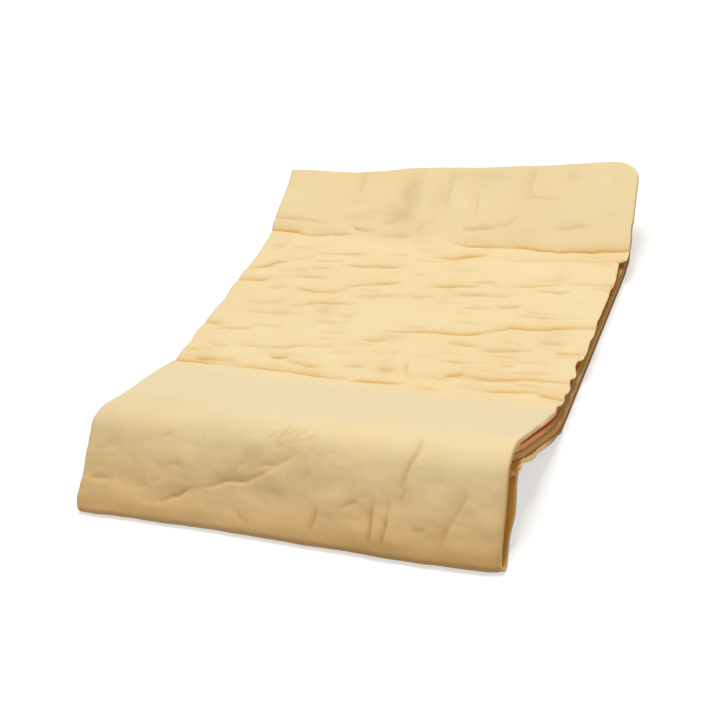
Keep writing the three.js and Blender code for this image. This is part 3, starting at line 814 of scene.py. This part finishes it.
def make_upper_cloth():
    """The upper half: folded, torn on the right, pressed into creases, and laid on the lower half."""
    stations = row_stations(drop=66, shelf=36, ramp=156, flap=33, corner=12)
    gap = np.interp(stations, *UPPER_GAP)
    depths = (0.0, PLY, PLY + gap, 2 * PLY + gap)
    station, walked, sides = half_rows(0, stations, depths, UPPER_SETBACKS)
    gaps = np.concatenate([np.full(NOSE_ROWS, GAP), gap])

    on_ramp = ramp_share(station)
    recess = np.interp(station, *TOP_RECESS) - RAMP_OVERHANG * on_ramp
    outer_limit = torn_limit(station, right_limit(station, recess))
    outer_limit += SEAM_SPREAD * swell(walked, walked[0], SEAM_REACH)
    inner_limit = right_limit(station, np.interp(station, *SECOND_RECESS))
    undercut = RAMP_SLANT * on_ramp - np.interp(station, *SHELF_SLANT)
    foot_share = 1 - eased(risen(station, NOSE_STATION, FOOT_FADE))
    (outer, inner), shares, facing = wrapped_skins(
        station, sides, gaps, UPPER_COLUMNS, (outer_limit, inner_limit), undercut, foot_share)

    x, station = shares * WIDTH, station[:, None]
    length = np.broadcast_to(walked[:, None], shares.shape)
    relief = waves(x, length, *BROAD_SWELLS) + waves(x, length, *SMALL_SWELLS)
    relief += ramp_share(station) * waves(x, length, *RAMP_RIPPLES)
    pillowy = waves(x, length, *PILLOWS) + waves(x, length, *DIMPLES)
    pillowy *= fallen(station, PILLOW_END, 1) * risen(station, *PILLOW_START)
    off_the_sides = risen(shares, 0, BELLY_SIDES[0]) * fallen(shares, 1, BELLY_SIDES[1])
    relief += pillowy - BELLY * off_the_sides * swell(station, *BELLY_PLACE)
    relief -= (FOOT_ROLL + waves(x, length, *FOOT_WAVER)) * swell(station, *FOOT_ROLL_PLACE)
    from_edge = (outer_limit - LEFT)[:, None] - x
    on_drop = fallen(station, DROP_END, 1)
    roll_width = EDGE_ROLL_WIDTH + DROP_ROLL_WIDTH * on_drop
    relief += (EDGE_ROLL + DROP_ROLL * on_drop) * np.exp(-from_edge / roll_width)

    pressed, crease_shade = crease_field(shares, length)
    # Painted shade along the rolled right edge on the drop
    crease_shade = np.maximum(crease_shade, DROP_EDGE_SHADE * on_drop * np.exp(-from_edge / DROP_EDGE_SHADE_WIDTH))
    on_top = outer_share(facing)
    push = on_top * (pressed + relief) + (1 - on_top) * INNER_PRINT * pressed
    weaker = np.maximum(push, -LOOP_RISE) * (on_top + (1 - on_top) * LOOP_FORM)
    push = np.where(on_top > 0.99, push, weaker)

    turned = np.clip(-facing, 0, 1)
    shade = edge_shade(station, turned, UPPER_FRONT_END)
    smudge_and_shade, red = smudge_and_shade_field(shares, length) * on_top, np.interp(station, *RED_BOUNCE_SHELF)
    fields = finish_fields(shares, station, turned, shade, crease_shade * on_top, smudge_and_shade, red)
    uvs = laid_flat(facing, x, length)
    return closed_sheet("upper_cloth", pressed_in(outer, push), above_table(inner), uvs, fields, False)


upper_cloth = make_upper_cloth()


def srgb(red, green, blue):
    """A colour as it is seen, 0 to 255, as the linear colour that a shader takes."""
    parts = (part / 255 for part in (red, green, blue))
    return tuple(p / 12.92 if p < 0.04045 else ((p + 0.055) / 1.055) ** 2.4 for p in parts) + (1.0,)


# The cloth is cream all over. Painted shade tans it down the drop and deeper at the foot, and painted
# cooler light makes it paler on the shelf. Creases get painted shade, smudges and patches of painted
# shade are darker, and painted warm bounce light makes its cut edges and its inside glow.
CREAM = srgb(239, 219, 173)
DEEP_CREAM = srgb(238, 214, 165)
PALE_CREAM = srgb(240, 224, 182)
SHELF_LIT_CREAM = srgb(230, 216, 178)
DROP_SHADE_TAN = srgb(216, 173, 110)
FOOT_SHADE_TAN = srgb(190, 148, 92)
SMUDGE_AND_SHADE_TAN = srgb(200, 170, 122)
PORE_TAN = srgb(214, 184, 134)
CREASE_SHADE_GOLD = srgb(216, 173, 98)
DROP_CREASE_SHADE_BROWN = srgb(176, 136, 80)
INSIDE_BOUNCE_GOLD = srgb(214, 158, 60)
INSIDE_BOUNCE_ORANGE = srgb(244, 120, 26)
CUT_CREAM = srgb(252, 220, 160)
CUT_TAN = srgb(238, 200, 142)
CUT_BOUNCE_ORANGE = srgb(255, 176, 78)
CUT_SHADE = srgb(132, 104, 52)


class Wire:
    """A shader value. Sums and products of wires read as such, and node() adds any other node."""

    def __init__(self, tree, socket):
        self.tree = tree
        self.socket = socket

    def node(self, kind, settings, inputs, output=0):
        made = self.tree.nodes.new(kind)
        for name, value in settings.items():
            setattr(made, name, value)
        for key, value in inputs.items():
            if isinstance(value, Wire):
                self.tree.links.new(value.socket, made.inputs[key])
            else:
                made.inputs[key].default_value = value
        return Wire(self.tree, made.outputs[output]) if len(made.outputs) else None

    def maths(self, operation, *values):
        return self.node("ShaderNodeMath", {"operation": operation}, dict(enumerate(values)))

    def __add__(self, other):
        return self.maths("ADD", self, other)

    def __mul__(self, other):
        return self.maths("MULTIPLY", self, other)

    __radd__ = __add__
    __rmul__ = __mul__

    def mix(self, first, second):
        """The first colour where this wire is 0 and the second where it is 1."""
        inputs = {0: self, 6: first, 7: second}
        return self.node("ShaderNodeMix", {"data_type": "RGBA"}, inputs, output=2)


def cloth_finish(name, cut_edge):
    """Matt chamois: cream, with painted shade in its creases and down the drop, faint smudges, painted
    bounce light inside, and a fine soft nap.
    """
    material = bpy.data.materials.new(name)
    material.use_nodes = True
    tree = material.node_tree
    tree.nodes.clear()
    start = Wire(tree, None)
    place = start.node("ShaderNodeTexCoord", {}, {}, output="Object")
    flat = start.node("ShaderNodeUVMap", {"uv_map": "cloth"}, {})

    def noise(where, scale, detail, roughness=0.5):
        inputs = {"Vector": where, "Scale": scale, "Detail": detail, "Roughness": roughness}
        return start.node("ShaderNodeTexNoise", {}, inputs)

    def field(key):
        return start.node("ShaderNodeAttribute", {"attribute_name": key}, {}, output="Fac")

    def ramp(wire, low, high):
        return start.node("ShaderNodeMapRange", {"clamp": True}, {0: wire, 1: low, 2: high})

    crease_shading, wrinkled, inside_bounce = field("crease_shading"), field("wrinkled"), field("inside_bounce")
    smudge_and_shade, drop_shade, inside_red_bounce = field("smudge_and_shade"), field("drop_shade"), field("inside_red_bounce")
    edge_bounce, shaded_edge, shelf_cool_light = field("edge_bounce"), field("shaded_edge"), field("shelf_cool_light")
    broad = noise(place, scale=28.0, detail=2.0)
    middling = noise(place, scale=110.0, detail=3.0)
    pores = noise(place, scale=1500.0, detail=2.0, roughness=0.6)
    nap = noise(place, scale=700.0, detail=3.0, roughness=0.6)
    drawn_out = start.node("ShaderNodeMapping", {}, {"Vector": flat, "Scale": (0.22, 1.0, 1.0)})
    lines = noise(drawn_out, scale=300.0, detail=3.0, roughness=0.55)

    cream = ramp(broad, 0.35, 0.65).mix(CREAM, DEEP_CREAM)
    cream = (ramp(middling, 0.4, 0.72) * 0.5).mix(cream, PALE_CREAM)
    # Painted shade: tan down the drop, and a deeper tan at the foot
    cream = drop_shade.mix(cream, DROP_SHADE_TAN)
    cream = (ramp(drop_shade, 0.75, 1.0) * 0.5).mix(cream, FOOT_SHADE_TAN)
    # Painted cooler light makes the shelf paler
    cream = (shelf_cool_light * 0.75).mix(cream, SHELF_LIT_CREAM)
    # Smudges, and patches of painted shade
    cream = (smudge_and_shade * (middling * 0.9)).mix(cream, SMUDGE_AND_SHADE_TAN)
    # Painted shade in the creases, browner down the drop
    with_crease_shade = crease_shading.mix(cream, drop_shade.mix(CREASE_SHADE_GOLD, DROP_CREASE_SHADE_BROWN))
    # Painted warm bounce light between the plies, redder along the shelf
    inside = inside_red_bounce.mix(inside_bounce.mix(with_crease_shade, INSIDE_BOUNCE_GOLD), INSIDE_BOUNCE_ORANGE)
    colour = (ramp(pores, 0.3, 0.5) * 0.06).mix(inside, PORE_TAN)
    if cut_edge:
        cut_colour = (ramp(nap, 0.35, 0.6) * 0.6).mix(CUT_CREAM, CUT_TAN)
        # Painted warm bounce light on the cut edges of the inner plies
        colour = (edge_bounce * 0.8).mix(cut_colour, CUT_BOUNCE_ORANGE)
        colour = (shaded_edge * 0.8).mix(colour, CUT_SHADE)
    height = pores * 0.2 + nap * 0.2 + lines * (wrinkled * 0.4 + 0.1) + middling * 0.4
    bump = start.node("ShaderNodeBump", {}, {"Strength": 0.55, "Distance": 0.0006, "Height": height})
    shader = start.node("ShaderNodeBsdfPrincipled", {}, {
        "Base Color": colour, "Roughness": ramp(nap, 0.3, 0.7) * 0.08 + 0.86, "Normal": bump,
        "Specular IOR Level": 0.18, "Sheen Weight": 0.12, "Sheen Roughness": 0.5,
    })
    start.node("ShaderNodeOutputMaterial", {}, {"Surface": shader})
    return material


soft_chamois = cloth_finish("soft_chamois", cut_edge=False)
cut_chamois = cloth_finish("cut_chamois", cut_edge=True)
upper_cloth.data.materials.append(soft_chamois)
upper_cloth.data.materials.append(cut_chamois)


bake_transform(upper_cloth)
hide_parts("upper_outer_ply", "upper_inner_ply", "upper_side_fold")

# The lower half of the cloth. It is the other half of the same sheet. Its outer ply lies on the table,
# and at the front fold it turns up into the upper half. Little shows of it besides its cut edges, so
# its rows are fewer and its surface is plainer.
LOWER_COLUMNS = (90, 9, 90)
LOWER_SETBACKS = (0.8, 0.8, 2.4, 2.4)
LEAF_SKEW = 3.6
LOWEST_RECESS = 0.4

# The right edge of the lowest ply wavers, as stations and mm outwards
UNDER_EDGE = (
    (0, .06, .11, .17, .25, .32, .38, .44, .52, .6, .7, .8,
     .88, .95, .98, 1.03, 1.08, 1.13, 1.2, 1.27, 1.33, 1.4, 1.5),
    (-.3, -.6, -.9, -.7, -.4, 0, .45, .8, .9, .85, .6, .6,
     .6, .3, .4, 1.0, .9, .1, -.8, 0, .9, .9, 0),
)

# How far the third ply lies back, as stations and mm, with a knob that stands out below the ridge
THIRD_RECESS = ((0.2, 0.74, 0.78, 0.82, 0.86, 0.91, 1.1, 1.25, 4),
                (4.0, 3.3, 0.2, -0.7, 0.2, 3.0, 1.6, 0.2, 0.4))

# The lowest ply is pressed thinner from below behind the ridge and before the valley, and stands out
# under the ridge: mm, station and reach
THIN_BEHIND_RIDGE = (1.7, 1.13, 0.08)
THIN_BEFORE_VALLEY = (0.8, 1.9, 0.06)
OUT_AT_RIDGE = (0.5, 1.0, 0.05)

# Under the creases of the top ply the third ply stands up by this share of their depth
CREASE_PRINT = 0.5

# Where the shade of this half's edges ends in front, and how strong it is on the two plies
LOWER_FRONT_END = (0.97, 0.98)
LOWEST_SHADING = 1.2
THIRD_SHADING = 0.6

# How far the two halves lie apart in the UV map
UV_APART = 20.0


def make_lower_cloth():
    """The lower half: folded and skewed. Its skin faces inwards until closed_sheet flips it."""
    stations = row_stations(drop=45, shelf=36, ramp=90, flap=18, corner=12)
    gap = np.interp(stations, *UPPER_GAP)
    depths = [gap + plies * PLY + closed * GAP for plies, closed in ((4, 2), (3, 2), (3, 1), (2, 1))]
    station, walked, sides = half_rows(2, stations, depths, LOWER_SETBACKS)
    gaps = np.full(len(station), GAP)

    outer_limit = right_limit(station, LOWEST_RECESS * ramp_share(station), LEAF_SKEW)
    outer_limit += np.interp(station, *UNDER_EDGE)
    outer_limit += SEAM_SPREAD * swell(walked, walked[0], SEAM_REACH)
    inner_limit = right_limit(station, np.interp(station, *THIRD_RECESS), LEAF_SKEW)
    foot_share = 1 - eased(np.concatenate([np.linspace(0, 1, NOSE_ROWS), np.ones(len(stations))]))
    (outer, inner), shares, facing = wrapped_skins(
        station, sides, gaps, LOWER_COLUMNS, (outer_limit, inner_limit), 0, foot_share)

    x, station = shares * WIDTH, station[:, None]
    length = np.broadcast_to(walked[:, None], shares.shape)
    pressed, crease_shade = crease_field(shares, length)
    on_lowest = outer_share(facing)
    thinned = sum(depth * swell(station, *at) for depth, *at in (THIN_BEHIND_RIDGE, THIN_BEFORE_VALLEY))
    thinned = thinned - OUT_AT_RIDGE[0] * swell(station, *OUT_AT_RIDGE[1:])
    push = (1 - on_lowest) * np.maximum(CREASE_PRINT * pressed, 0) - on_lowest * thinned

    turned = np.clip(-facing, 0, 1)
    shade = edge_shade(station, turned, LOWER_FRONT_END)
    shade = np.maximum(shade * (LOWEST_SHADING - THIRD_SHADING * turned), THIRD_SHADING * turned)
    fields = finish_fields(shares, station, turned, shade, crease_shade * (1 - on_lowest), 0.0, 0.0)
    uvs = laid_flat(facing, x, -length - UV_APART)
    return closed_sheet("lower_cloth", pressed_in(outer, push), above_table(inner), uvs, fields, True)


lower_cloth = make_lower_cloth()
lower_cloth.data.materials.append(soft_chamois)
lower_cloth.data.materials.append(cut_chamois)
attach(lower_cloth, "lower_leaf")
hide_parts("lower_outer_ply", "lower_inner_ply", "lower_side_fold",
            "outer_front_fold", "inner_front_fold")

# The table: a broad matt top that the cloth lies on. It is seen as white, and throws less light back
# at the cloth than it shows. It lies a hair lower, so that the two don't touch.
TABLE_REACH = 3.0
TABLE_DROP = 0.0002
MATT_GREY = (0.55, 0.55, 0.55, 1)
GLOW = 0.55

table_mesh = bpy.data.meshes.new("table_top")
low, high = -TABLE_REACH, TABLE_REACH
corners = [(low, low, 0), (high, low, 0), (high, high, 0), (low, high, 0)]
table_mesh.from_pydata(corners, [], [(0, 1, 2, 3)])
table_top = bpy.data.objects.new("table_top", table_mesh)
bpy.context.scene.collection.objects.link(table_top)
table_top.location.z = -TABLE_DROP
white_table = bpy.data.materials.new("white_table")
white_table.use_nodes = True
white_table.node_tree.nodes.clear()
bench = Wire(white_table.node_tree, None)
seen, mirrored, through = (
    bench.node("ShaderNodeLightPath", {}, {}, output=f"Is {kind} Ray")
    for kind in ("Camera", "Glossy", "Transmission")
)
matt = bench.node("ShaderNodeBsdfDiffuse", {}, {"Color": MATT_GREY})
glow = bench.node("ShaderNodeEmission", {}, {"Color": (1, 1, 1, 1), "Strength": GLOW})
lifted = bench.node("ShaderNodeAddShader", {}, {0: matt, 1: glow})
watched = bench.maths("MAXIMUM", bench.maths("MAXIMUM", seen, mirrored), through)
shown = bench.node("ShaderNodeMixShader", {}, {0: watched, 1: matt, 2: lifted})
bench.node("ShaderNodeOutputMaterial", {}, {"Surface": shown})
table_mesh.materials.append(white_table)

# The light: a room with warm light from all sides, a large softbox above and behind the cloth, and a
# weak one low on the right, which shows the cut edges.
ROOM_COLOUR = (1.0, 0.93, 0.81, 1)
ROOM_STRENGTH = 0.37
CLOTH_MIDDLE = Vector((0, 0, 0))

studio = bpy.data.worlds.new("studio")
bpy.context.scene.world = studio
studio.use_nodes = True
room = studio.node_tree.nodes["Background"].inputs
room["Color"].default_value = ROOM_COLOUR
room["Strength"].default_value = ROOM_STRENGTH


def softbox(name, place, size, power):
    """A softbox that is turned to the middle of the cloth."""
    lamp = bpy.data.lights.new(name, "AREA")
    lamp.shape = "RECTANGLE"
    lamp.size, lamp.size_y = size
    lamp.energy = power
    holder = bpy.data.objects.new(name, lamp)
    holder.location = place
    holder.rotation_euler = (CLOTH_MIDDLE - Vector(place)).to_track_quat("-Z", "Y").to_euler()
    bpy.context.scene.collection.objects.link(holder)


softbox("top_softbox", place=(0.0, 0.25, 1.25), size=(0.5, 0.45), power=11.3)
softbox("side_softbox", place=(0.7, -0.3, 0.4), size=(0.5, 0.5), power=0.9)

# The camera: it stands in front of the cloth and to the right, looks down at it, and leans a little,
# as in the photograph. Its place and axes were fitted to the ends of the fold lines there.
CAMERA_PLACE = (0.2216, -0.3375, 0.2890)
CAMERA_RIGHT = (0.8846, 0.3946, -0.2481)
CAMERA_UP = (-0.0643, 0.6303, 0.7737)
CAMERA_AHEAD = (-0.4617, 0.6686, -0.5830)

camera_data = bpy.data.cameras.new("camera")
camera_data.sensor_width = 36.0
camera_data.lens = 65.0
camera = bpy.data.objects.new("camera", camera_data)
axes = Matrix((CAMERA_RIGHT, CAMERA_UP, [-part for part in CAMERA_AHEAD])).transposed().normalized()
camera.matrix_world = Matrix.Translation(CAMERA_PLACE) @ axes.to_4x4()
bpy.context.scene.collection.objects.link(camera)
bpy.context.scene.camera = camera
bpy.context.scene.view_settings.view_transform = "Standard"
